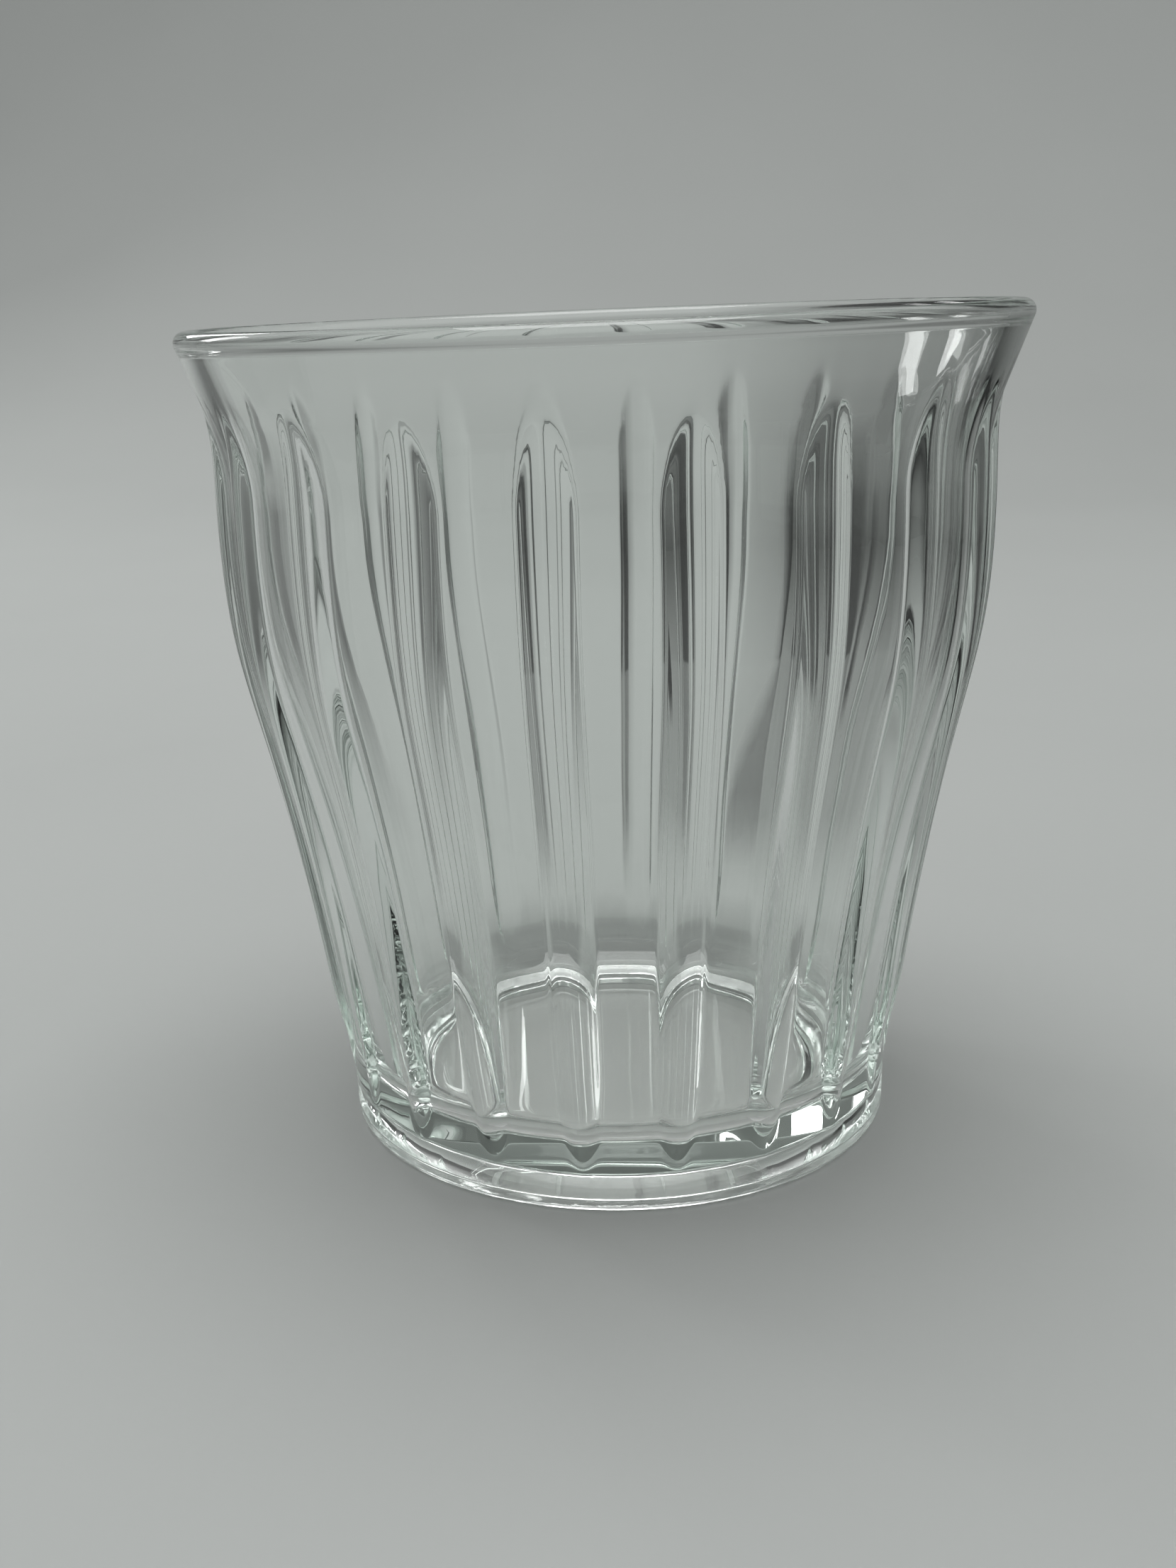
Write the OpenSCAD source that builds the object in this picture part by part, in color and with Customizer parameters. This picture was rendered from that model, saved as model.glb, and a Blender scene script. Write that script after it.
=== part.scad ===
// Juice glass: a pressed tumbler in one piece of glass. A plain neck flares to a rounded lip, and upright
// ribs of round section run from the foot to arches under the neck. The inside is smooth, with a flat
// floor and a rounded corner, and the underside stands on a flat bearing ring around a shallow recess.
// The glass stands on Z = 0, its axis is Z, and one rib faces -Y.

/* [Overall] */
// Height from the table to the top of the lip
glass_h = 85; // [76:0.5:100]
// Diameter over the plain panels where the belly stands upright
belly_d = 77.6; // [72:0.1:84]
// Diameter over the plain panels at the top of the foot
foot_d = 58.7; // [52:0.1:64]

/* [Neck and lip] */
// Height of the neck, from the upright belly to the top of the lip
neck_h = 16; // [13:0.5:20]
// Radius of the curve that turns the belly into the flare
neck_round = 22; // [16:0.5:28]
// How far the lip stands out beyond the belly's panels
rim_over = 4.05; // [3:0.05:5.5]
// Thickness of the wall at the lip, which is fully rounded
lip_t = 2.1; // [1.6:0.1:2.6]

/* [Side] */
// Lean of the side just above the foot, in degrees
side_lean = 8.2; // [4:0.1:12]
// How far up the lean of the foot steers the side's curve
lean_reach = 44; // [30:0.5:50]
// How far down the upright belly steers the side's curve
belly_reach = 24; // [14:0.5:34]

/* [Foot] */
// Height of the foot, below the leaning side
foot_h = 9; // [7:0.25:12]
// Draft of the foot's side, in degrees
foot_draft = 1.5; // [0.5:0.1:3]
// Rounding of the foot's lower edge
heel_round = 1; // [0.5:0.1:2]
// Width of the flat ring that the glass stands on
bearing_w = 3.6; // [2:0.1:6]
// Height of the recess in the underside
recess_h = 1.9; // [1:0.1:2.5]
// Width of the recess's sloping edge
recess_slope_w = 2.5; // [1:0.1:4]

/* [Inside] */
// Height of the inside's floor over the table
floor_h = 5; // [4:0.1:9]
// Radius of the corner between the inside's floor and its wall
corner_round = 6.4; // [4:0.1:10]
// Thickness of the wall where it leaves that corner, measured from the top of the foot's side
foot_wall_t = 3.45; // [2.8:0.05:5]
// Lean of the inside wall where it leaves the corner, in degrees
inner_lean = 9.5; // [6:0.1:12]
// How far up that lean steers the inside wall
inner_reach = 43; // [34:0.5:50]
// How far down the upright belly steers the inside wall
wall_reach = 24; // [16:0.5:30]

/* [Ribs] */
// Number of ribs around the glass
rib_count = 20; // [12:1:24]
// Height of a rib's crest over the plain panels
rib_rise = 1; // [0.6:0.05:1.4]
// Width of a rib at the foot
rib_foot_w = 4.6; // [3.6:0.1:5.4]
// Width of a rib where its arch begins
rib_arch_w = 5; // [4:0.1:5.6]
// Height of a rib's lower tip over the table
rib_tip_h = 5.6; // [4:0.1:6.5]
// How far the crest stays upright above the start of the neck
arch_lift = 2.5; // [1:0.1:4]
// Radius of the curve that a rib's crest takes into the neck
arch_round = 27; // [22:0.5:36]

/* [Hidden] */
glass_colour = [0.78, 0.84, 0.82, 0.45];

// Steps that stand for each curve of the outlines
side_steps = 12;
neck_steps = 5;
lip_steps = 10;
wall_steps = 10;
corner_steps = 9;
heel_steps = 4;
rib_end_steps = 4;
body_fn = 180;
rib_fn = 60;

// Depth at which a rib is rooted in the wall
rib_root = lip_t / 2;

belly_r = belly_d / 2;
rim_r = belly_r + rim_over;
foot_r = foot_d / 2;
lip_r = lip_t / 2;
neck_z = glass_h - neck_h;
heel_r = foot_r - (foot_h - heel_round) * tan(foot_draft);
bearing_r = heel_r - heel_round - bearing_w;

// The flare is the straight line that touches both the neck's curve and the lip's circle
neck_centre = [belly_r + neck_round, neck_z];
lip_centre = [rim_r - lip_r, glass_h - lip_r];
neck_to_lip = lip_centre - neck_centre;
flare = atan2(neck_to_lip[0], neck_to_lip[1]) + asin((neck_round + lip_r) / norm(neck_to_lip));

// Points in the half plane of the outlines are [radius, height]
function steps(n) = [for (i = [0:n]) i / n];
function polar(centre, r, angle) = centre + r * [cos(angle), sin(angle)];
function arc(centre, r, from, to, n) = [for (t = steps(n)) polar(centre, r, from + (to - from) * t)];
function lean_way(angle) = [sin(angle), cos(angle)];
function bezier(a, b, c, d, t) =
    pow(1 - t, 3) * a + 3 * pow(1 - t, 2) * t * b + 3 * (1 - t) * t * t * c + pow(t, 3) * d;

// A wall that starts with a lean at its foot and comes upright at its top
function rising_wall(foot, lean, foot_reach, top, top_reach, n) = [
    for (t = steps(n))
        bezier(foot, foot + foot_reach * lean_way(lean), top - [0, top_reach], top, t)
];

side = rising_wall([foot_r, foot_h], side_lean, lean_reach, [belly_r, neck_z], belly_reach, side_steps);
neck = arc(neck_centre, neck_round, 180, 180 - flare, neck_steps);
lip = arc(lip_centre, lip_r, -flare, 180 - flare, lip_steps);
inner_neck = arc(neck_centre, neck_round + lip_t, 180 - flare, 180, neck_steps);

corner_centre = [foot_r - foot_wall_t - corner_round * cos(inner_lean), floor_h + corner_round];
corner = arc(corner_centre, corner_round, -inner_lean, -90, corner_steps);
inner_top = [belly_r - lip_t, neck_z];
wall_up = rising_wall(corner[0], inner_lean, inner_reach, inner_top, wall_reach, wall_steps);
inner_wall = [for (i = [wall_steps - 1:-1:1]) wall_up[i]];

heel = arc([heel_r - heel_round, heel_round], heel_round, -90, 0, heel_steps);
underside = [[0, recess_h], [bearing_r - recess_slope_w, recess_h], [bearing_r, 0]];

// The crest of a rib: a tail that sinks into the foot, the raised side, and a head that sinks into the neck
tail_run = foot_h - rib_tip_h;
tail_round = (pow(tail_run, 2) + pow(rib_rise, 2)) / (2 * rib_rise);
tail_turn = acos(1 - (rib_rise + rib_root / 2) / tail_round);
tail = arc([foot_r + rib_rise - tail_round, foot_h], tail_round, -tail_turn, 0, rib_end_steps);
raised_side = [for (i = [1:side_steps - 1]) side[i] + [rib_rise, 0]];
head_centre = [belly_r + rib_rise + arch_round, neck_z + arch_lift];
head = arc(head_centre, arch_round, 180, 180 - flare, rib_end_steps);
crest = concat(tail, raised_side, head);

// A rib is turned about a straight line inside the wall, so that its section is round at every height
function round_of(width) = (pow(width / 2, 2) + pow(rib_rise, 2)) / (2 * rib_rise);
rib_low = [foot_r + rib_rise - round_of(rib_foot_w), foot_h];
rib_high = [belly_r + rib_rise - round_of(rib_arch_w), neck_z + arch_lift];
rib_run = rib_high - rib_low;
rib_tilt = atan2(rib_run[0], rib_run[1]);
function along_rib(p) = (p - rib_low) * lean_way(rib_tilt);
function out_of_rib(p) = (p - rib_low) * [cos(rib_tilt), -sin(rib_tilt)];
crest_end = len(crest) - 1;

module wall() {
    outside = concat(underside, heel, side, neck, lip);
    inside = concat(inner_neck, inner_wall, corner, [[0, floor_h]]);
    rotate_extrude($fn = body_fn) polygon(concat(outside, inside));
}

// What lies deeper in the wall than the roots of the ribs
module core() {
    outer = concat(side, neck);
    roots = [for (p = outer) p - [rib_root, 0]];
    top = [lip_centre[0] - rib_root, glass_h];
    outline = concat([[0, 0], [foot_r - rib_root, 0]], roots, [top, [0, glass_h]]);
    rotate_extrude($fn = body_fn) polygon(outline);
}

module rib() {
    turned = [for (p = crest) [out_of_rib(p), along_rib(p)]];
    outline = concat([[0, turned[0][1]]], turned, [[0, turned[crest_end][1]]]);
    translate([rib_low[0], 0, rib_low[1]])
        rotate([0, rib_tilt, 0])
            rotate_extrude($fn = rib_fn) polygon(outline);
}

module ribs() {
    difference() {
        for (i = [0:rib_count - 1])
            rotate([0, 0, -90 + i * 360 / rib_count]) rib();
        core();
    }
}

module tumbler() {
    color(glass_colour) {
        wall();
        ribs();
    }
}

tumbler();
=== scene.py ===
"""Juice glass of ribbed pressed glass: the tumbler's mesh and material, and a small studio around it."""

import math

import bpy
import numpy as np
from mathutils import Matrix, Vector


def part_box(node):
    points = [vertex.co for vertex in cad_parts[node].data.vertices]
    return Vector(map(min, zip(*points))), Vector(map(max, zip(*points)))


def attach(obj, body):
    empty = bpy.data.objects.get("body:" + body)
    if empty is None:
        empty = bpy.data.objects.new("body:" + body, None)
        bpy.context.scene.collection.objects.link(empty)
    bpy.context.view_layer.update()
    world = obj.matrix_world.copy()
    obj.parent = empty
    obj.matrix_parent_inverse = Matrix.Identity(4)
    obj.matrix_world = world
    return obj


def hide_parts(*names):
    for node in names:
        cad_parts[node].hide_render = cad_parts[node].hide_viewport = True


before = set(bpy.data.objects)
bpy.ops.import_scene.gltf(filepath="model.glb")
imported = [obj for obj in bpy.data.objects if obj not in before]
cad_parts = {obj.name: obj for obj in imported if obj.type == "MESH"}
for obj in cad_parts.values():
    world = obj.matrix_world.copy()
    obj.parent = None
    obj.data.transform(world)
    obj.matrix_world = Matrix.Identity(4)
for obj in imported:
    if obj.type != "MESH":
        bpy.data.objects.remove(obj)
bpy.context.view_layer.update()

bl_info = {
    "name": "Juice Glass",
    "version": (1, 0, 0),
    "blender": (4, 5, 0),
    "location": "View3D > Sidebar > Juice Glass",
    "description": "Builds a ribbed pressed-glass tumbler on its packed frame, with a pale studio",
    "category": "Add Mesh",
}

MM = 0.001
NODE = "tumbler"

# The photograph's frame, focal length and optical axis, in pixels, as fitted to it
PHOTO_W, PHOTO_H = 1659, 2212
PHOTO_FOCAL = 2514
PHOTO_AXIS = (694, 1018)

# The camera's sensor width in millimetres, and its near limit in metres
SENSOR_W_MM = 36
NEAR_LIMIT = 0.01

# Bounces that light takes through and off the glass
BOUNCES = 32
GLOSSY_BOUNCES = 16

# Rise given to the rows of the mesh that carry no ribs, in metres
NO_RIB = -1.0

# Columns of the mesh over half a rib's pitch, closest between the two shares where the creases run
CREASE_FROM, CREASE_TO = 0.32, 0.56
CREST_COLS, CREASE_COLS, PANEL_COLS = 6, 7, 5

# Shares of the heel's rounding up to which it is ground and above which it is polished
GROUND_TO, POLISHED_FROM = 0.1, 0.6

# The sweep's half width, front edge, start of its bend, bend's radius and top, in metres
SWEEP_HALF_W = 1.6
SWEEP_FRONT = -1.6
SWEEP_BACK = 0.55
SWEEP_BEND = 0.5
SWEEP_TOP = 1.6
BEND_POINTS = 24

# Gaps that keep the sweep and the disc of painted light just below the glass
SWEEP_GAP = 0.05 * MM
DISC_GAP = 0.02 * MM
DISC_SIDES = 96

# Steps of a card's mesh from one row to the next, and points across it
CARD_STEPS = 6
CARD_COLS = 33

# Soft-edged cards around the glass, which only the glass shows: painted shade on the floor seen through it
# where they lie flat, and painted dark reflections and refractions where they stand. Each row has a radius
# and a height in metres and the card's cover there, from the glass outwards and up
LOW_ROWS = (
    (0.07, 0.001, 0),
    (0.1, 0.001, 0.5),
    (0.19, 0.001, 0.5),
    (0.19, 0.002, 1),
    (0.19, 0.042, 1),
    (0.19, 0.062, 0),
)
TALL_ROWS = ((0.12, 0.001, 0), (0.145, 0.001, 1), (0.19, 0.001, 1), (0.19, 0.032, 1), (0.19, 0.05, 0))
FADED_ROWS = ((0.08, 0.001, 0), (0.19, 0.001, 0.8), (0.19, 0.042, 0.8), (0.19, 0.062, 0))
SOFT_ROWS = ((0.06, 0.0005, 0), (0.09, 0.0005, 0.5), (0.19, 0.0005, 0.6), (0.2, 0.03, 1), (0.2, 0.11, 0))
SHADE_ROWS = ((0.0296, 0.0003, 0.35), (0.042, 0.0003, 0.35), (0.06, 0.0003, 0))
HIGH_ROWS = ((0.45, 0.14, 0), (0.45, 0.17, 0.6), (0.45, 0.3, 0.6), (0.45, 0.36, 0))

# Each card has columns of azimuth and cover, then rows and tint; azimuth is in degrees to the right of
# straight behind the glass
PAINTED_DARK_CARDS = {
    # Black cards to the right, left and far right, which only the glass shows: painted shade on the floor
    # where they lie flat, painted dark reflections where they stand
    "painted_dark_right": (((12.5, 0), (14, 0.9), (19, 0.9), (20.5, 0)), LOW_ROWS, "painted_dark_tint"),
    "painted_dark_left": (
        ((-62, 0), (-54, 1), (-40, 1), (-33, 0.7), (-27, 0.7), (-24, 0)),
        FADED_ROWS,
        "painted_dark_tint",
    ),
    "painted_dark_far": (((33, 0), (38, 1), (60, 1), (66, 0)), TALL_ROWS, "painted_dark_tint"),
    # A painted contact shadow on the floor behind the foot, seen only through the glass
    "painted_shadow_back": (((-36, 0), (-26, 1), (26, 1), (36, 0)), SHADE_ROWS, "painted_dark_tint"),
    # Painted soft shade on the floor behind and to the right, seen only through the glass, rising into a
    # grey card
    "painted_shade_right": (((6, 0), (18, 1), (60, 1), (90, 0)), SOFT_ROWS, "painted_grey_tint"),
    # A grey card in the air behind, which only the glass shows: a painted dark reflection
    "painted_dark_high": (((-22, 0), (-16, 1), (30, 1), (40, 0)), HIGH_ROWS, "painted_grey_tint"),
}

# Strip lamps behind the glass, by azimuth in degrees
STRIPS = {"strip_left": -54, "strip_right": -32}

tumbler_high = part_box(NODE)[1]


def length(name, description, default_mm):
    """A length property, written in millimetres and stored in metres."""
    return bpy.props.FloatProperty(
        name=name, description=description, default=default_mm * MM, unit="LENGTH", subtype="DISTANCE"
    )


def angle(name, description, default_deg):
    """An angle property, written in degrees and stored in radians."""
    return bpy.props.FloatProperty(
        name=name,
        description=description,
        default=math.radians(default_deg),
        unit="ROTATION",
        subtype="ANGLE",
    )


def colour(name, description, default):
    """A colour property, in linear light."""
    return bpy.props.FloatVectorProperty(
        name=name, description=description, default=default, size=3, min=0, max=1, subtype="COLOR"
    )


def power(name, description, default_w):
    """A lamp's power, in watts."""
    return bpy.props.FloatProperty(name=name, description=description, default=default_w, unit="POWER")


def number(name, description, default):
    """A plain number property."""
    return bpy.props.FloatProperty(name=name, description=description, default=default)


class TumblerShape(bpy.types.PropertyGroup):
    """Sizes of the tumbler: those of the part's source, with finer rib ends and a bead at the lip"""

    height: length("Height", "Table to the top of the lip", tumbler_high.z / MM)
    rim_r: length("Rim radius", "Radius over the lip", min(tumbler_high.x, tumbler_high.y) / MM)
    belly_r: length("Belly radius", "Radius of the plain panels where the belly stands upright", 38.8)
    foot_r: length("Foot radius", "Radius of the plain panels at the top of the foot", 29.35)
    neck_h: length("Neck height", "Upright belly to the top of the lip", 16)
    neck_round: length("Neck curve", "Radius of the curve from the belly to the flare", 22)
    neck_t: length("Neck thickness", "Thickness of the wall in the neck", 2.1)
    bead_t: length("Bead thickness", "Thickness of the rounded bead at the lip", 2.35)
    side_lean: angle("Side lean", "Lean of the side just above the foot", 8.2)
    lean_reach: length("Lean reach", "How far up the foot's lean steers the side", 44)
    belly_reach: length("Belly reach", "How far down the upright belly steers the side", 24)
    foot_h: length("Foot height", "Height of the foot, below the leaning side", 9)
    foot_draft: angle("Foot draft", "Draft of the foot's side", 1.5)
    heel_round: length("Heel rounding", "Rounding of the foot's lower edge", 1)
    bearing_w: length("Bearing width", "Width of the flat ring that the glass stands on", 3.6)
    recess_h: length("Recess height", "Height of the recess in the underside", 1.9)
    recess_slope_w: length("Recess slope", "Width of the recess's sloping edge", 2.5)
    floor_h: length("Floor height", "Table to the flat floor of the inside", 5)
    corner_round: length("Corner rounding", "Radius between the inside's floor and its wall", 6.4)
    foot_wall_t: length("Foot wall", "Thickness of the wall where it leaves that corner", 3.45)
    inner_lean: angle("Inner lean", "Lean of the inside wall there", 9.5)
    inner_reach: length("Inner reach", "How far up that lean steers the inside wall", 43)
    wall_reach: length("Wall reach", "How far down the upright belly steers the inside wall", 24)
    rib_count: bpy.props.IntProperty(
        name="Ribs", description="Number of ribs around the glass", default=20, min=3
    )
    rib_rise: length("Rib rise", "Height of a rib's crest over the plain panels", 1)
    rib_foot_w: length("Rib width at the foot", "Width of a rib at the foot", 4.2)
    rib_arch_w: length("Rib width at the arch", "Width of a rib where its arch begins", 5)
    rib_tip_h: length("Rib tip", "Height of a rib's lower tip over the table", 5.2)
    rib_fade_h: length("Rib fade", "Height below which a rib sinks towards its tip", 17)
    arch_lift: length("Arch lift", "How far a crest stays upright above the start of the neck", 2.5)
    arch_round: length("Arch curve", "Radius of the curve that a crest takes into the neck", 27)
    crease: length("Crease", "Softness of the crease between a rib and a panel", 0.12)


class GlassFinish(bpy.types.PropertyGroup):
    """Colour and surface of the glass"""

    tint: colour("Tint", "Colour that the surface lets through", (0.97, 0.985, 0.975))
    depth_tint: colour("Depth tint", "Colour that thick glass turns to", (0.68, 0.84, 0.75))
    depth_density: number("Depth density", "Absorption of thick glass, per metre", 8)
    ior: number("Refractive index", "Index of soda-lime glass", 1.52)
    polish: number("Polish", "Roughness of the clean fire-polished glass", 0.0)
    smudge: number("Smudges", "Extra roughness where the glass has been handled", 0.03)
    smudge_scale: number("Smudge scale", "Fineness of the smudges, per metre", 55)
    wave: length("Waviness", "Depth of the slow waves in the pressed surface", 0.05)
    wave_scale: number("Wave scale", "Fineness of the waves, per metre", 60)
    heel_grain: number("Heel grain", "Roughness of the ground heel", 0.08)
    grain: length("Grain depth", "Depth of the grain on the ground heel", 0.01)
    grain_scale: number("Grain scale", "Fineness of the grain, per metre", 1800)


class StudioSetup(bpy.types.PropertyGroup):
    """Floor, light, the disc of painted light under the foot, the cards that paint shade and dark
    reflections, and camera
    """

    floor_tint: colour("Floor", "Colour of the pale sweep", (0.50, 0.52, 0.507))
    mottle: number("Mottle", "Share by which the paper's tone wanders", 0.03)
    mottle_scale: number("Mottle scale", "Fineness of the mottle, per metre", 9)
    tooth: length("Tooth", "Depth of the paper's tooth", 0.03)
    tooth_scale: number("Tooth scale", "Fineness of the tooth, per metre", 600)
    paper_rough: number("Paper roughness", "Least roughness of the sweep's paper", 0.85)
    tooth_rough: number("Tooth roughness", "Roughness that the tooth adds at most", 0.1)
    paper_shine: number("Paper shine", "Specular level of the sweep's paper", 0.2)
    sky: number("Sky", "Brightness of the surround overhead", 0.66)
    sky_z: number("Sky height", "Sine of the elevation above which the surround is sky", 0.7)
    dusk: number("Dusk", "Brightness of the surround near the horizon", 0.12)
    dusk_z: number("Dusk height", "Sine of the elevation below which the surround is dusk", 0.2)
    strip: power("Strips", "Power of each of the two strip lamps", 0.48)
    strip_w: length("Strip width", "Width of a strip lamp", 120)
    strip_l: length("Strip length", "Length of a strip lamp", 300)
    strip_reach: length("Strip reach", "Distance of the strip lamps from the glass's axis", 800)
    strip_h: length("Strip height", "Height of the strip lamps' middles over the floor", 420)
    strip_aim_h: length("Strip aim", "Height on the glass's axis that the strip lamps look at", 40)
    overhead: power("Overhead", "Power of the overhead lamp", 3.8)
    overhead_w: length("Overhead width", "Width of the square overhead lamp", 600)
    overhead_h: length("Overhead height", "Height of the overhead lamp over the floor", 1000)
    overhead_back: length("Overhead offset", "How far behind the glass the overhead lamp hangs", 100)
    # The disc under the foot is paler than the floor: painted light pooled under the glass
    painted_light_disc_tint: colour("Reflector", "Colour of the paper disc under the foot", (0.88, 0.88, 0.87))
    painted_light_disc_inset: length("Reflector inset", "How far the paper disc stays inside the foot", 1)
    # Black and grey cards that only the glass shows: painted shade on the floor and painted dark
    # reflections in the glass
    painted_dark_tint: colour("Flags", "Colour of the black cards around the glass", (0.01, 0.01, 0.01))
    painted_grey_tint: colour("Cards", "Colour of the grey cards around the glass", (0.12, 0.125, 0.12))
    distance: length("Distance", "Camera to the glass's axis, along the table", 186.5)
    eye_h: length("Eye height", "Camera over the table", 87.4)
    turn: angle("Turn", "Camera's place around the glass, from the rib that faces -Y", 6.94)
    pan: angle("Pan", "Camera's turn to the side", -3.83)
    pitch: angle("Pitch", "Camera's tilt below the horizon", 13.5)
    roll: angle("Roll", "Camera's roll", -2.39)


def bezier(a, b, c, d, n):
    """Points along a cubic curve."""
    t = np.linspace(0, 1, n)[:, None]
    return (1 - t) ** 3 * a + 3 * (1 - t) ** 2 * t * b + 3 * (1 - t) * t * t * c + t**3 * d


def arc(centre, radius, start, stop, n):
    """Points along an arc, with angles in radians from the outward direction."""
    t = np.linspace(start, stop, n)
    return np.array(centre) + radius * np.stack([np.cos(t), np.sin(t)], -1)


def rising_wall(foot, lean, foot_reach, top, top_reach, n):
    """A wall that leans at its foot and comes upright at its top."""
    foot = np.array(foot)
    top = np.array(top)
    way = np.array([math.sin(lean), math.cos(lean)])
    return bezier(foot, foot + foot_reach * way, top - [0, top_reach], top, n)


class Outline:
    """The tumbler's outline in the half plane of radius and height, in metres"""

    # Points along a curve that is looked up by height
    FINE = 200

    # Shares of the way along a straight stretch at which the mesh has rows
    RECESS_SHARES = (0.25, 0.5, 0.75, 0.96, 1.0)
    SLOPE_SHARES = (0.08, 0.5, 0.92, 1.0)
    BEARING_SHARES = (0.05, 0.5, 0.95)
    UNDER_BEAD_SHARE = 0.06
    FLOOR_SHARES = (0.66, 0.33)

    # Points along each other stretch, from the heel up the outside and down the inside
    HEEL_POINTS = 8
    FOOT_POINTS = 4
    TIP_POINTS = 14
    SIDE_POINTS = 34
    ARCH_POINTS = 34
    NECK_POINTS = 4
    LIP_POINTS = 17
    NECK_IN_POINTS = 7
    WALL_IN_POINTS = 18
    CORNER_POINTS = 14

    # How far the close rows reach beyond the foot's ribs, and below and above the start of the neck
    FOOT_MARGIN = 1 * MM
    ARCH_BELOW = 5 * MM
    ARCH_ABOVE = 11 * MM

    def __init__(self, s):
        lip_r = s.bead_t / 2
        neck_z = s.height - s.neck_h
        neck_centre = np.array([s.belly_r + s.neck_round, neck_z])
        lip_centre = np.array([s.rim_r - lip_r, s.height - lip_r])
        across = lip_centre - neck_centre
        flare = math.atan2(*across) + math.asin((s.neck_round + lip_r) / np.linalg.norm(across))
        self.s = s
        self.neck_z = neck_z
        self.heel_r = s.foot_r - (s.foot_h - s.heel_round) * math.tan(s.foot_draft)
        foot = np.array([[self.heel_r, s.heel_round], [s.foot_r, s.foot_h]])
        belly = [s.belly_r, neck_z]
        side = rising_wall(foot[1], s.side_lean, s.lean_reach, belly, s.belly_reach, self.FINE)
        neck = arc(neck_centre, s.neck_round, math.pi, math.pi - flare, self.FINE)
        bead_stop = math.acos((s.neck_t - lip_r) / lip_r)
        self.lip = (lip_centre, lip_r, -flare, math.pi - flare + bead_stop)
        lip_foot = arc(*self.lip, 2)[:1]
        self.outer = np.vstack([foot[:1], side, neck[1:], lip_foot])
        self.lip_foot_z = lip_foot[0, 1]

        head_centre = [s.belly_r + s.rib_rise + s.arch_round, neck_z + s.arch_lift]
        self.head = arc(head_centre, s.arch_round, math.pi, math.pi - flare, self.FINE)

        inner_r = s.foot_r - s.foot_wall_t
        corner_centre = [inner_r - s.corner_round * math.cos(s.inner_lean), s.floor_h + s.corner_round]
        self.corner = (corner_centre, s.corner_round, -s.inner_lean, -math.pi / 2)
        inner_top = [s.belly_r - s.neck_t, neck_z]
        self.wall = (arc(*self.corner, 2)[0], s.inner_lean, s.inner_reach, inner_top, s.wall_reach)
        self.inner_neck = (neck_centre, s.neck_round + s.neck_t, math.pi - flare, math.pi)

    def panel_r(self, z):
        """Radius of the plain panels at a height."""
        return np.interp(z, self.outer[:, 1], self.outer[:, 0])

    def rib_rise(self, z):
        """Rise of a rib's crest over the panels at a height; below zero where there is no rib."""
        s = self.s
        sink = np.clip((s.rib_fade_h - z) / (s.rib_fade_h - s.rib_tip_h), 0, None)
        side = self.panel_r(z) + s.rib_rise * (1 - sink**2)
        head = np.interp(z, self.head[:, 1], self.head[:, 0], right=0)
        return np.where(z < self.head[0, 1], np.minimum(side, head), head) - self.panel_r(z)

    def rows(self):
        """Rows from the middle of the underside, up the outside, over the lip and down the inside to its
        floor, as radius, height and rise of the rib's crest over the row."""
        s = self.s
        bearing = self.heel_r - s.heel_round - s.bearing_w
        flat = bearing - s.recess_slope_w
        under = [[flat * t, s.recess_h] for t in self.RECESS_SHARES]
        under += [[flat + s.recess_slope_w * t, s.recess_h * (1 - t)] for t in self.SLOPE_SHARES]
        under += [[bearing + s.bearing_w * t, 0] for t in self.BEARING_SHARES]
        heel_centre = [self.heel_r - s.heel_round, s.heel_round]
        heel = arc(heel_centre, s.heel_round, -math.pi / 2, 0, self.HEEL_POINTS)

        below_tips = s.rib_tip_h - self.FOOT_MARGIN
        above_foot = s.foot_h + self.FOOT_MARGIN
        below_arches = self.neck_z - self.ARCH_BELOW
        above_arches = self.neck_z + self.ARCH_ABOVE
        heights = np.concatenate([
            np.linspace(s.heel_round, below_tips, self.FOOT_POINTS)[1:],
            np.linspace(below_tips, above_foot, self.TIP_POINTS)[1:],
            np.linspace(above_foot, below_arches, self.SIDE_POINTS)[1:],
            np.linspace(below_arches, above_arches, self.ARCH_POINTS)[1:],
            np.linspace(above_arches, self.lip_foot_z, self.NECK_POINTS)[1:-1],
        ])
        outside = np.stack([self.panel_r(heights), heights, self.rib_rise(heights)], -1)

        lip = arc(*self.lip, self.LIP_POINTS)
        neck_in = arc(*self.inner_neck, self.NECK_IN_POINTS)
        under_bead = lip[-1] + (neck_in[0] - lip[-1]) * self.UNDER_BEAD_SHARE
        wall_in = rising_wall(*self.wall, self.WALL_IN_POINTS)[::-1][1:-1]
        corner_in = arc(*self.corner, self.CORNER_POINTS)
        floor_in = [[corner_in[-1, 0] * t, s.floor_h] for t in self.FLOOR_SHARES]
        inside = np.vstack([lip, under_bead[None], neck_in, wall_in, corner_in, floor_in])
        before = [[r, z, NO_RIB] for r, z in np.vstack([under, heel])]
        after = [[r, z, NO_RIB] for r, z in inside]
        return np.vstack([before, outside, after])


def rib_columns(s):
    """Angles of the mesh's columns from the nearest crest and around the glass, closest at the creases."""
    crest = np.linspace(0, CREASE_FROM, CREST_COLS)
    crease = np.linspace(CREASE_FROM, CREASE_TO, CREASE_COLS)
    panel = np.linspace(CREASE_TO, 1, PANEL_COLS)
    right = np.concatenate([crest[:-1], crease[:-1], panel])
    pitch = 2 * math.pi / s.rib_count
    within = pitch / 2 * np.concatenate([-right[-2:0:-1], right])
    turns = np.arange(s.rib_count) * pitch
    return np.tile(within, s.rib_count), (turns[:, None] + within).ravel() - math.pi / 2


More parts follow.
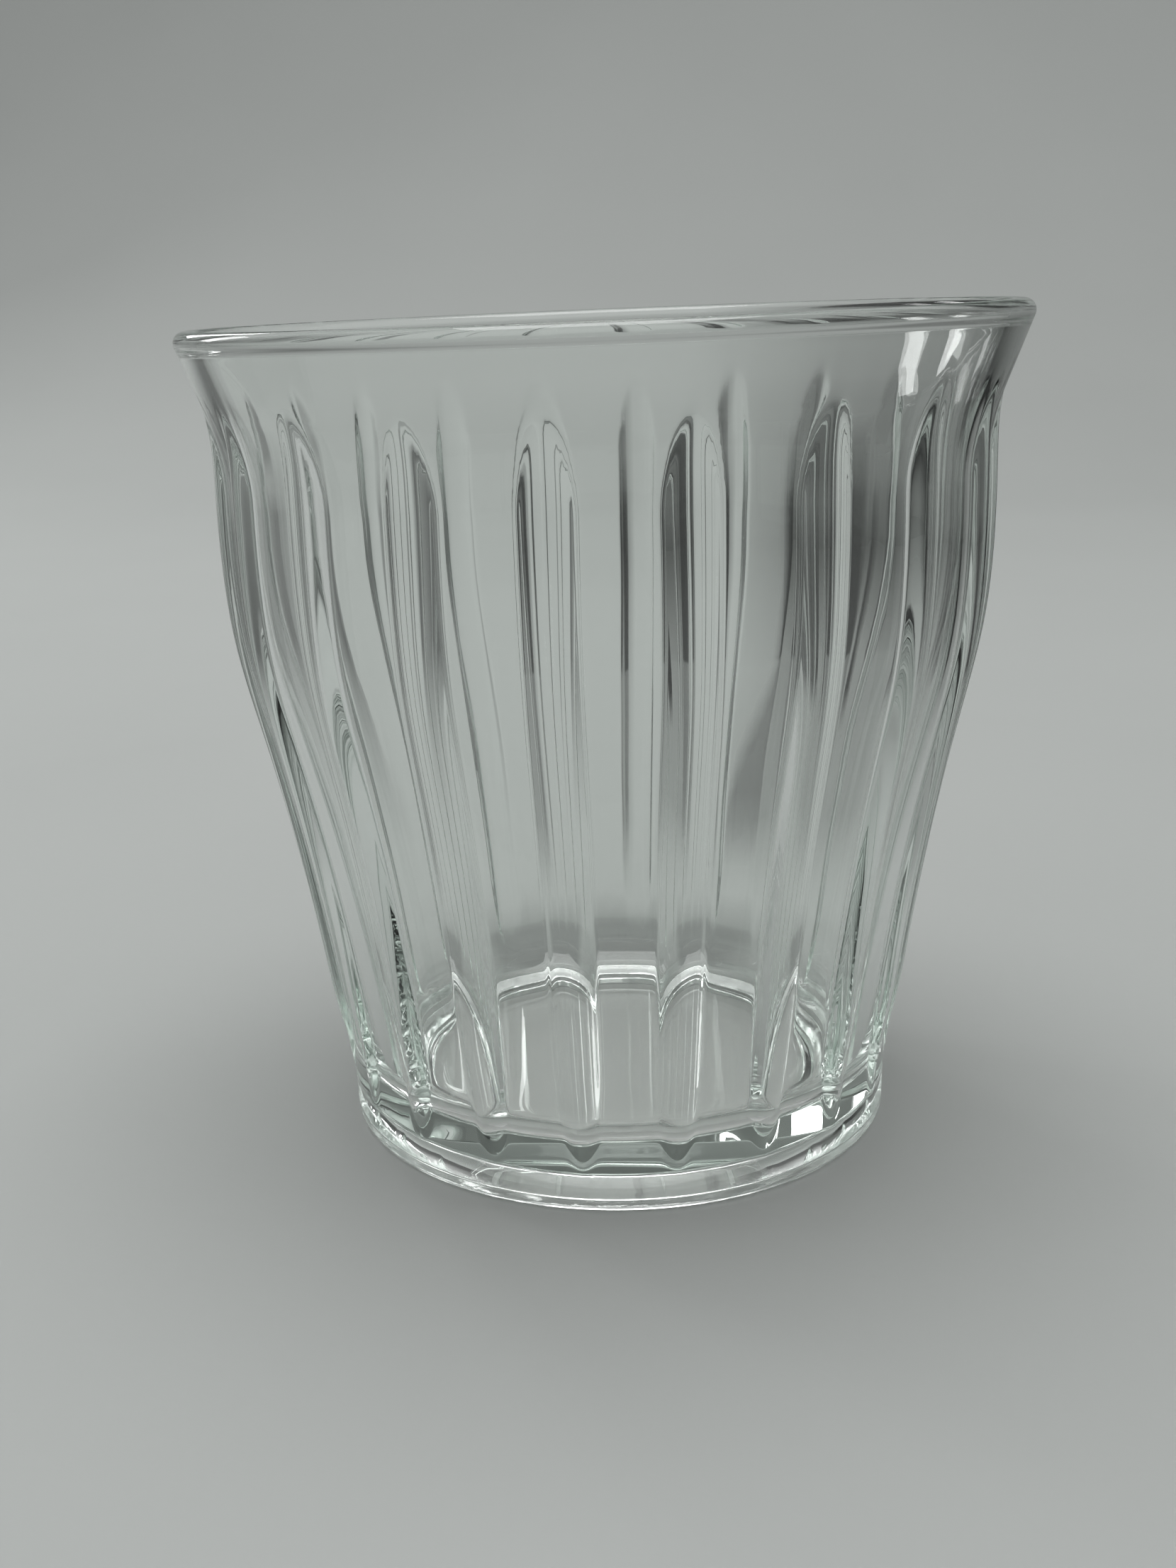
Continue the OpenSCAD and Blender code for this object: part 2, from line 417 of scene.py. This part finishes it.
def tumbler_mesh(s):
    """The whole tumbler as one closed mesh of rings, with a point at the middle of each end."""
    outline = Outline(s)
    rows = outline.rows()
    from_crest, turns = rib_columns(s)
    rib_w = np.interp(rows[:, 1:2], [s.foot_h, outline.neck_z], [s.rib_foot_w, s.rib_arch_w])
    rib_round = ((rib_w / 2) ** 2 + s.rib_rise**2) / (2 * s.rib_rise)
    across = np.minimum(np.abs(from_crest * rows[:, 0:1]), rib_round)
    over = rows[:, 2:3] - (rib_round - np.sqrt(rib_round**2 - across**2))
    rise = (over + np.sqrt(over**2 + s.crease**2)) / 2
    radius = rows[:, 0:1] + np.where(rows[:, 2:3] > NO_RIB, rise, 0)
    height = np.broadcast_to(rows[:, 1:2], radius.shape)
    rings = np.stack([radius * np.cos(turns), radius * np.sin(turns), height], -1).reshape(-1, 3)
    ends = [[0, 0, s.recess_h], [0, 0, s.floor_h]]
    points = np.vstack([rings, ends])

    n_rows, n_cols = radius.shape
    index = np.arange(n_rows * n_cols).reshape(n_rows, n_cols)
    beside = np.roll(index, -1, axis=1)
    quads = np.stack([index[:-1], beside[:-1], beside[1:], index[1:]], -1).reshape(-1, 4)
    first = n_rows * n_cols
    low_fan = [[first, b, a] for a, b in zip(index[0], beside[0])]
    high_fan = [[first + 1, a, b] for a, b in zip(index[-1], beside[-1])]
    mesh = bpy.data.meshes.new(NODE + "_glass")
    mesh.from_pydata(points.tolist(), [], quads.tolist() + low_fan + high_fan)
    mesh.polygons.foreach_set("use_smooth", [True] * len(mesh.polygons))
    mesh.validate()
    mesh.update()
    return mesh


class Wire:
    """An output socket that takes part in sums and products"""

    def __init__(self, tree, socket):
        self.tree = tree
        self.socket = socket

    def _math(self, operation, a, b):
        return self.tree.node("ShaderNodeMath", {"operation": operation}, {0: a, 1: b})["Value"]

    def __add__(self, other):
        return self._math("ADD", self, other)

    __radd__ = __add__

    def __mul__(self, other):
        return self._math("MULTIPLY", self, other)

    __rmul__ = __mul__


class NodeTree:
    """The nodes of one material or world"""

    def __init__(self, owner):
        owner.use_nodes = True
        self.tree = owner.node_tree
        self.tree.nodes.clear()

    def node(self, kind, settings=None, inputs=None):
        """Adds a node, sets it up, fills its sockets with values or wires, and returns its outputs."""
        made = self.tree.nodes.new(kind)
        for key, value in (settings or {}).items():
            if key == "stops":
                ramp = made.color_ramp.elements
                for stop, (place, shade) in zip(ramp, value):
                    stop.position = place
                    stop.color = (shade, shade, shade, 1)
            else:
                setattr(made, key, value)
        for key, value in (inputs or {}).items():
            if isinstance(value, Wire):
                self.tree.links.new(value.socket, made.inputs[key])
            else:
                made.inputs[key].default_value = value
        return {o.name: Wire(self, o) for o in made.outputs}

    def noise(self, place, scale, **inputs):
        """A noise around a half, with its fineness per metre."""
        return self.node("ShaderNodeTexNoise", inputs={"Vector": place, "Scale": scale, **inputs})["Fac"]

    def bump(self, relief):
        """The normal of a surface with a relief in metres."""
        inputs = {"Strength": 1, "Distance": 1, "Height": relief}
        return self.node("ShaderNodeBump", inputs=inputs)["Normal"]


def rgba(shade):
    """A colour with full opacity."""
    return (*shade, 1)


def pressed_glass(finish, shape):
    """Clear pressed glass: slow waves, faint smudges and a finely ground heel."""
    material = bpy.data.materials.new("pressed_glass")
    tree = NodeTree(material)
    place = tree.node("ShaderNodeTexCoord")["Object"]
    height = tree.node("ShaderNodeSeparateXYZ", inputs={"Vector": place})["Z"]
    heel = tree.node(
        "ShaderNodeMapRange",
        {"interpolation_type": "SMOOTHSTEP"},
        {
            "Value": height,
            "From Min": GROUND_TO * shape.heel_round,
            "From Max": POLISHED_FROM * shape.heel_round,
            "To Min": 1,
            "To Max": 0,
        },
    )["Result"]
    smudges = tree.noise(place, finish.smudge_scale, Detail=5, Roughness=0.6, Distortion=0.8)
    smears = tree.node("ShaderNodeValToRGB", {"stops": [(0.5, 0), (0.8, 1)]}, {"Fac": smudges})["Color"]
    waves = tree.noise(place, finish.wave_scale, Detail=1)
    grain = tree.noise(place, finish.grain_scale, Detail=2)
    bump = tree.bump(waves * finish.wave + grain * heel * finish.grain)
    rough = smears * finish.smudge + heel * finish.heel_grain + finish.polish
    glass = tree.node(
        "ShaderNodeBsdfPrincipled",
        inputs={
            "Base Color": rgba(finish.tint),
            "Roughness": rough,
            "IOR": finish.ior,
            "Transmission Weight": 1,
            "Normal": bump,
        },
    )["BSDF"]
    depth = tree.node(
        "ShaderNodeVolumeAbsorption",
        inputs={"Color": rgba(finish.depth_tint), "Density": finish.depth_density},
    )["Volume"]
    tree.node("ShaderNodeOutputMaterial", inputs={"Surface": glass, "Volume": depth})
    return material


def sweep_paint(studio):
    """Matt paper of the sweep, with a slow mottle and a faint tooth."""
    material = bpy.data.materials.new("sweep_paper")
    tree = NodeTree(material)
    place = tree.node("ShaderNodeTexCoord")["Object"]
    mottle = tree.noise(place, studio.mottle_scale, Detail=2)
    dark = rgba(c * (1 - studio.mottle) for c in studio.floor_tint)
    light = rgba(c * (1 + studio.mottle) for c in studio.floor_tint)
    tone = tree.node("ShaderNodeMixRGB", inputs={"Fac": mottle, "Color1": dark, "Color2": light})["Color"]
    tooth = tree.noise(place, studio.tooth_scale, Detail=3)
    paper = tree.node(
        "ShaderNodeBsdfPrincipled",
        inputs={
            "Base Color": tone,
            "Roughness": studio.paper_rough + studio.tooth_rough * tooth,
            "Specular IOR Level": studio.paper_shine,
            "Normal": tree.bump(tooth * studio.tooth),
        },
    )["BSDF"]
    tree.node("ShaderNodeOutputMaterial", inputs={"Surface": paper})
    return material


def show(name, data):
    """Adds an object to the scene."""
    made = bpy.data.objects.new(name, data)
    bpy.context.scene.collection.objects.link(made)
    return made


def sweep_mesh():
    """A floor that curves up into a backdrop behind the glass."""
    turn_up = arc([SWEEP_BACK, SWEEP_BEND], SWEEP_BEND, -math.pi / 2, 0, BEND_POINTS)
    curve = np.vstack([[SWEEP_FRONT, 0], turn_up, [SWEEP_BACK + SWEEP_BEND, SWEEP_TOP]])
    points = [[side * SWEEP_HALF_W, y, z - SWEEP_GAP] for y, z in curve for side in (-1, 1)]
    faces = [[2 * i, 2 * i + 1, 2 * i + 3, 2 * i + 2] for i in range(len(curve) - 1)]
    mesh = bpy.data.meshes.new("sweep")
    mesh.from_pydata(points, [], faces)
    mesh.polygons.foreach_set("use_smooth", [True] * len(faces))
    return mesh


def around(studio, azimuth, radius, height):
    """A place around the glass, with its azimuth in degrees to the right of straight behind it."""
    turn = math.radians(azimuth) - studio.turn
    return (radius * math.sin(turn), radius * math.cos(turn), height)


def place_painted_dark_card(studio, name, columns, rows, tint):
    """A folded card around the glass with soft edges, which only the glass shows, and which casts no
    shadow and lights nothing:
    painted shade on the floor seen through the glass where it lies flat, and painted dark reflections
    where it stands. Its columns are pairs of azimuth and cover, and its rows are places of radius, height
    and cover."""
    azimuths, across = zip(*columns)
    folds = np.arange(len(rows))
    steps = np.linspace(0, folds[-1], CARD_STEPS * folds[-1] + 1)
    radii, heights, up = (np.interp(steps, folds, values) for values in zip(*rows))
    turns = np.linspace(azimuths[0], azimuths[-1], CARD_COLS)
    places = [around(studio, turn, r, h) for r, h in zip(radii, heights) for turn in turns]
    cover = np.outer(up, np.interp(turns, azimuths, across))
    index = np.arange(len(places)).reshape(cover.shape)
    faces = np.stack([index[:-1, :-1], index[:-1, 1:], index[1:, 1:], index[1:, :-1]], -1).reshape(-1, 4)
    mesh = bpy.data.meshes.new(name)
    mesh.from_pydata(places, [], faces.tolist())
    mesh.attributes.new("cover", "FLOAT", "POINT").data.foreach_set("value", cover.ravel())
    material = bpy.data.materials.new(name)
    tree = NodeTree(material)
    # The card's dark colour, which only the glass shows: painted shade and painted dark reflections
    painted_dark = tree.node("ShaderNodeBsdfDiffuse", inputs={"Color": rgba(tint)})["BSDF"]
    clear = tree.node("ShaderNodeBsdfTransparent")["BSDF"]
    share = tree.node("ShaderNodeAttribute", {"attribute_name": "cover"})["Fac"]
    veil = tree.node("ShaderNodeMixShader", inputs={0: share, 1: clear, 2: painted_dark})["Shader"]
    tree.node("ShaderNodeOutputMaterial", inputs={"Surface": veil})
    mesh.materials.append(material)
    card = show(name, mesh)
    card.visible_camera = False
    card.visible_shadow = False
    card.visible_diffuse = False


def place_painted_light_disc(studio, radius):
    """A disc of paper under the foot, paler than the floor: a painted pool of light under the glass, which
    shows only through the base and also lights it from below.
    """
    turns = np.linspace(0, 2 * math.pi, DISC_SIDES, endpoint=False)
    disc = [[radius * math.cos(turn), radius * math.sin(turn), -DISC_GAP] for turn in turns]
    mesh = bpy.data.meshes.new("painted_light_disc")
    mesh.from_pydata(disc, [], [list(range(len(disc)))])
    material = bpy.data.materials.new("painted_light_disc_paper")
    tree = NodeTree(material)
    paper = tree.node("ShaderNodeBsdfDiffuse", inputs={"Color": rgba(studio.painted_light_disc_tint)})["BSDF"]
    tree.node("ShaderNodeOutputMaterial", inputs={"Surface": paper})
    mesh.materials.append(material)
    show("painted_light_disc", mesh)


def place_camera(studio):
    """The camera that was fitted to the photograph, turned to the rib that faces -Y."""
    data = bpy.data.cameras.new("camera")
    long_side = max(PHOTO_W, PHOTO_H)
    data.sensor_width = SENSOR_W_MM
    data.lens = PHOTO_FOCAL * data.sensor_width / long_side
    data.shift_x = (PHOTO_W / 2 - PHOTO_AXIS[0]) / long_side
    data.shift_y = (PHOTO_AXIS[1] - PHOTO_H / 2) / long_side
    data.clip_start = NEAR_LIMIT
    forward = Vector((
        math.sin(studio.pan) * math.cos(studio.pitch),
        math.cos(studio.pan) * math.cos(studio.pitch),
        -math.sin(studio.pitch),
    ))
    level = Vector((math.cos(studio.pan), -math.sin(studio.pan), 0))
    upright = level.cross(forward)
    right = math.cos(studio.roll) * level + math.sin(studio.roll) * upright
    up = math.cos(studio.roll) * upright - math.sin(studio.roll) * level
    basis = Matrix((right, up, -forward)).transposed().to_4x4()
    spot = Matrix.Translation((0, -studio.distance, studio.eye_h))
    camera = show("camera", data)
    camera.matrix_world = Matrix.Rotation(studio.turn, 4, "Z") @ spot @ basis
    bpy.context.scene.camera = camera


def place_lamp(name, size, watts, location, target):
    """A soft lamp that looks at a point."""
    data = bpy.data.lights.new(name, "AREA")
    data.shape = "RECTANGLE"
    data.size, data.size_y = size
    data.energy = watts
    lamp = show(name, data)
    lamp.location = location
    lamp.rotation_mode = "QUATERNION"
    lamp.rotation_quaternion = (Vector(target) - Vector(location)).to_track_quat("-Z", "Y")


def place_lamps(studio):
    """Two strip lamps behind the glass, and a square lamp overhead."""
    strip_size = (studio.strip_w, studio.strip_l)
    for name, azimuth in STRIPS.items():
        strip_at = around(studio, azimuth, studio.strip_reach, studio.strip_h)
        place_lamp(name, strip_size, studio.strip, strip_at, (0, 0, studio.strip_aim_h))
    below = around(studio, 0, studio.overhead_back, 0)
    above = around(studio, 0, studio.overhead_back, studio.overhead_h)
    place_lamp("overhead", (studio.overhead_w, studio.overhead_w), studio.overhead, above, below)


def surround(studio):
    """A world that is dusk near the horizon and sky overhead."""
    world = bpy.data.worlds.new("surround")
    tree = NodeTree(world)
    way = tree.node("ShaderNodeTexCoord")["Generated"]
    height = tree.node("ShaderNodeSeparateXYZ", inputs={"Vector": way})["Z"]
    stops = [(studio.dusk_z, studio.dusk), (studio.sky_z, studio.sky)]
    shade = tree.node("ShaderNodeValToRGB", {"stops": stops}, {"Fac": height})["Color"]
    light = tree.node("ShaderNodeBackground", inputs={"Color": shade})["Background"]
    tree.node("ShaderNodeOutputWorld", inputs={"Surface": light})
    return world


class JUICE_OT_tumbler(bpy.types.Operator):
    """Build the tumbler in place of its plain solid"""

    bl_idname = "juice_glass.tumbler"
    bl_label = "Build Tumbler"

    def execute(self, context):
        settings = context.scene.juice_glass_shape
        tumbler = show("tumbler_glass", tumbler_mesh(settings))
        tumbler.data.materials.append(pressed_glass(context.scene.juice_glass_finish, settings))
        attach(tumbler, "root")
        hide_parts(NODE)
        return {"FINISHED"}


class JUICE_OT_stage(bpy.types.Operator):
    """Set up the sweep, the light, the disc of painted light under the foot, the cards that paint shade
    and dark reflections, and the camera
    """

    bl_idname = "juice_glass.stage"
    bl_label = "Set Up Studio"

    def execute(self, context):
        studio = context.scene.juice_glass_studio
        sweep = show("sweep", sweep_mesh())
        sweep.data.materials.append(sweep_paint(studio))
        context.scene.world = surround(studio)
        place_lamps(studio)
        # A paler paper disc under the foot, painted light under the glass
        place_painted_light_disc(studio, context.scene.juice_glass_shape.foot_r - studio.painted_light_disc_inset)
        # Cards that only the glass shows, painting shade on the floor and dark reflections in the glass
        for name, (columns, rows, tint) in PAINTED_DARK_CARDS.items():
            place_painted_dark_card(studio, name, columns, rows, getattr(studio, tint))
        place_camera(studio)
        context.scene.view_settings.view_transform = "Standard"
        cycles = context.scene.cycles
        cycles.max_bounces = BOUNCES
        cycles.transmission_bounces = BOUNCES
        cycles.glossy_bounces = GLOSSY_BOUNCES
        return {"FINISHED"}


class JUICE_PT_panel(bpy.types.Panel):
    """Sizes, finish and studio of the juice glass"""

    bl_idname = "JUICE_PT_panel"
    bl_label = "Juice Glass"
    bl_space_type = "VIEW_3D"
    bl_region_type = "UI"
    bl_category = "Juice Glass"

    def draw(self, context):
        for operator in (JUICE_OT_tumbler, JUICE_OT_stage):
            self.layout.operator(operator.bl_idname)
        for group in GROUPS:
            box = self.layout.box()
            settings = getattr(context.scene, group)
            for key in settings.__annotations__:
                box.prop(settings, key)


GROUPS = {
    "juice_glass_shape": TumblerShape,
    "juice_glass_finish": GlassFinish,
    "juice_glass_studio": StudioSetup,
}
CLASSES = (*GROUPS.values(), JUICE_OT_tumbler, JUICE_OT_stage, JUICE_PT_panel)


def register():
    for item in CLASSES:
        bpy.utils.register_class(item)
    for name, group in GROUPS.items():
        setattr(bpy.types.Scene, name, bpy.props.PointerProperty(type=group))


def unregister():
    for name in GROUPS:
        delattr(bpy.types.Scene, name)
    for item in reversed(CLASSES):
        bpy.utils.unregister_class(item)


def main():
    register()
    bpy.ops.juice_glass.tumbler()
    bpy.ops.juice_glass.stage()


if __name__ == "__main__":
    main()
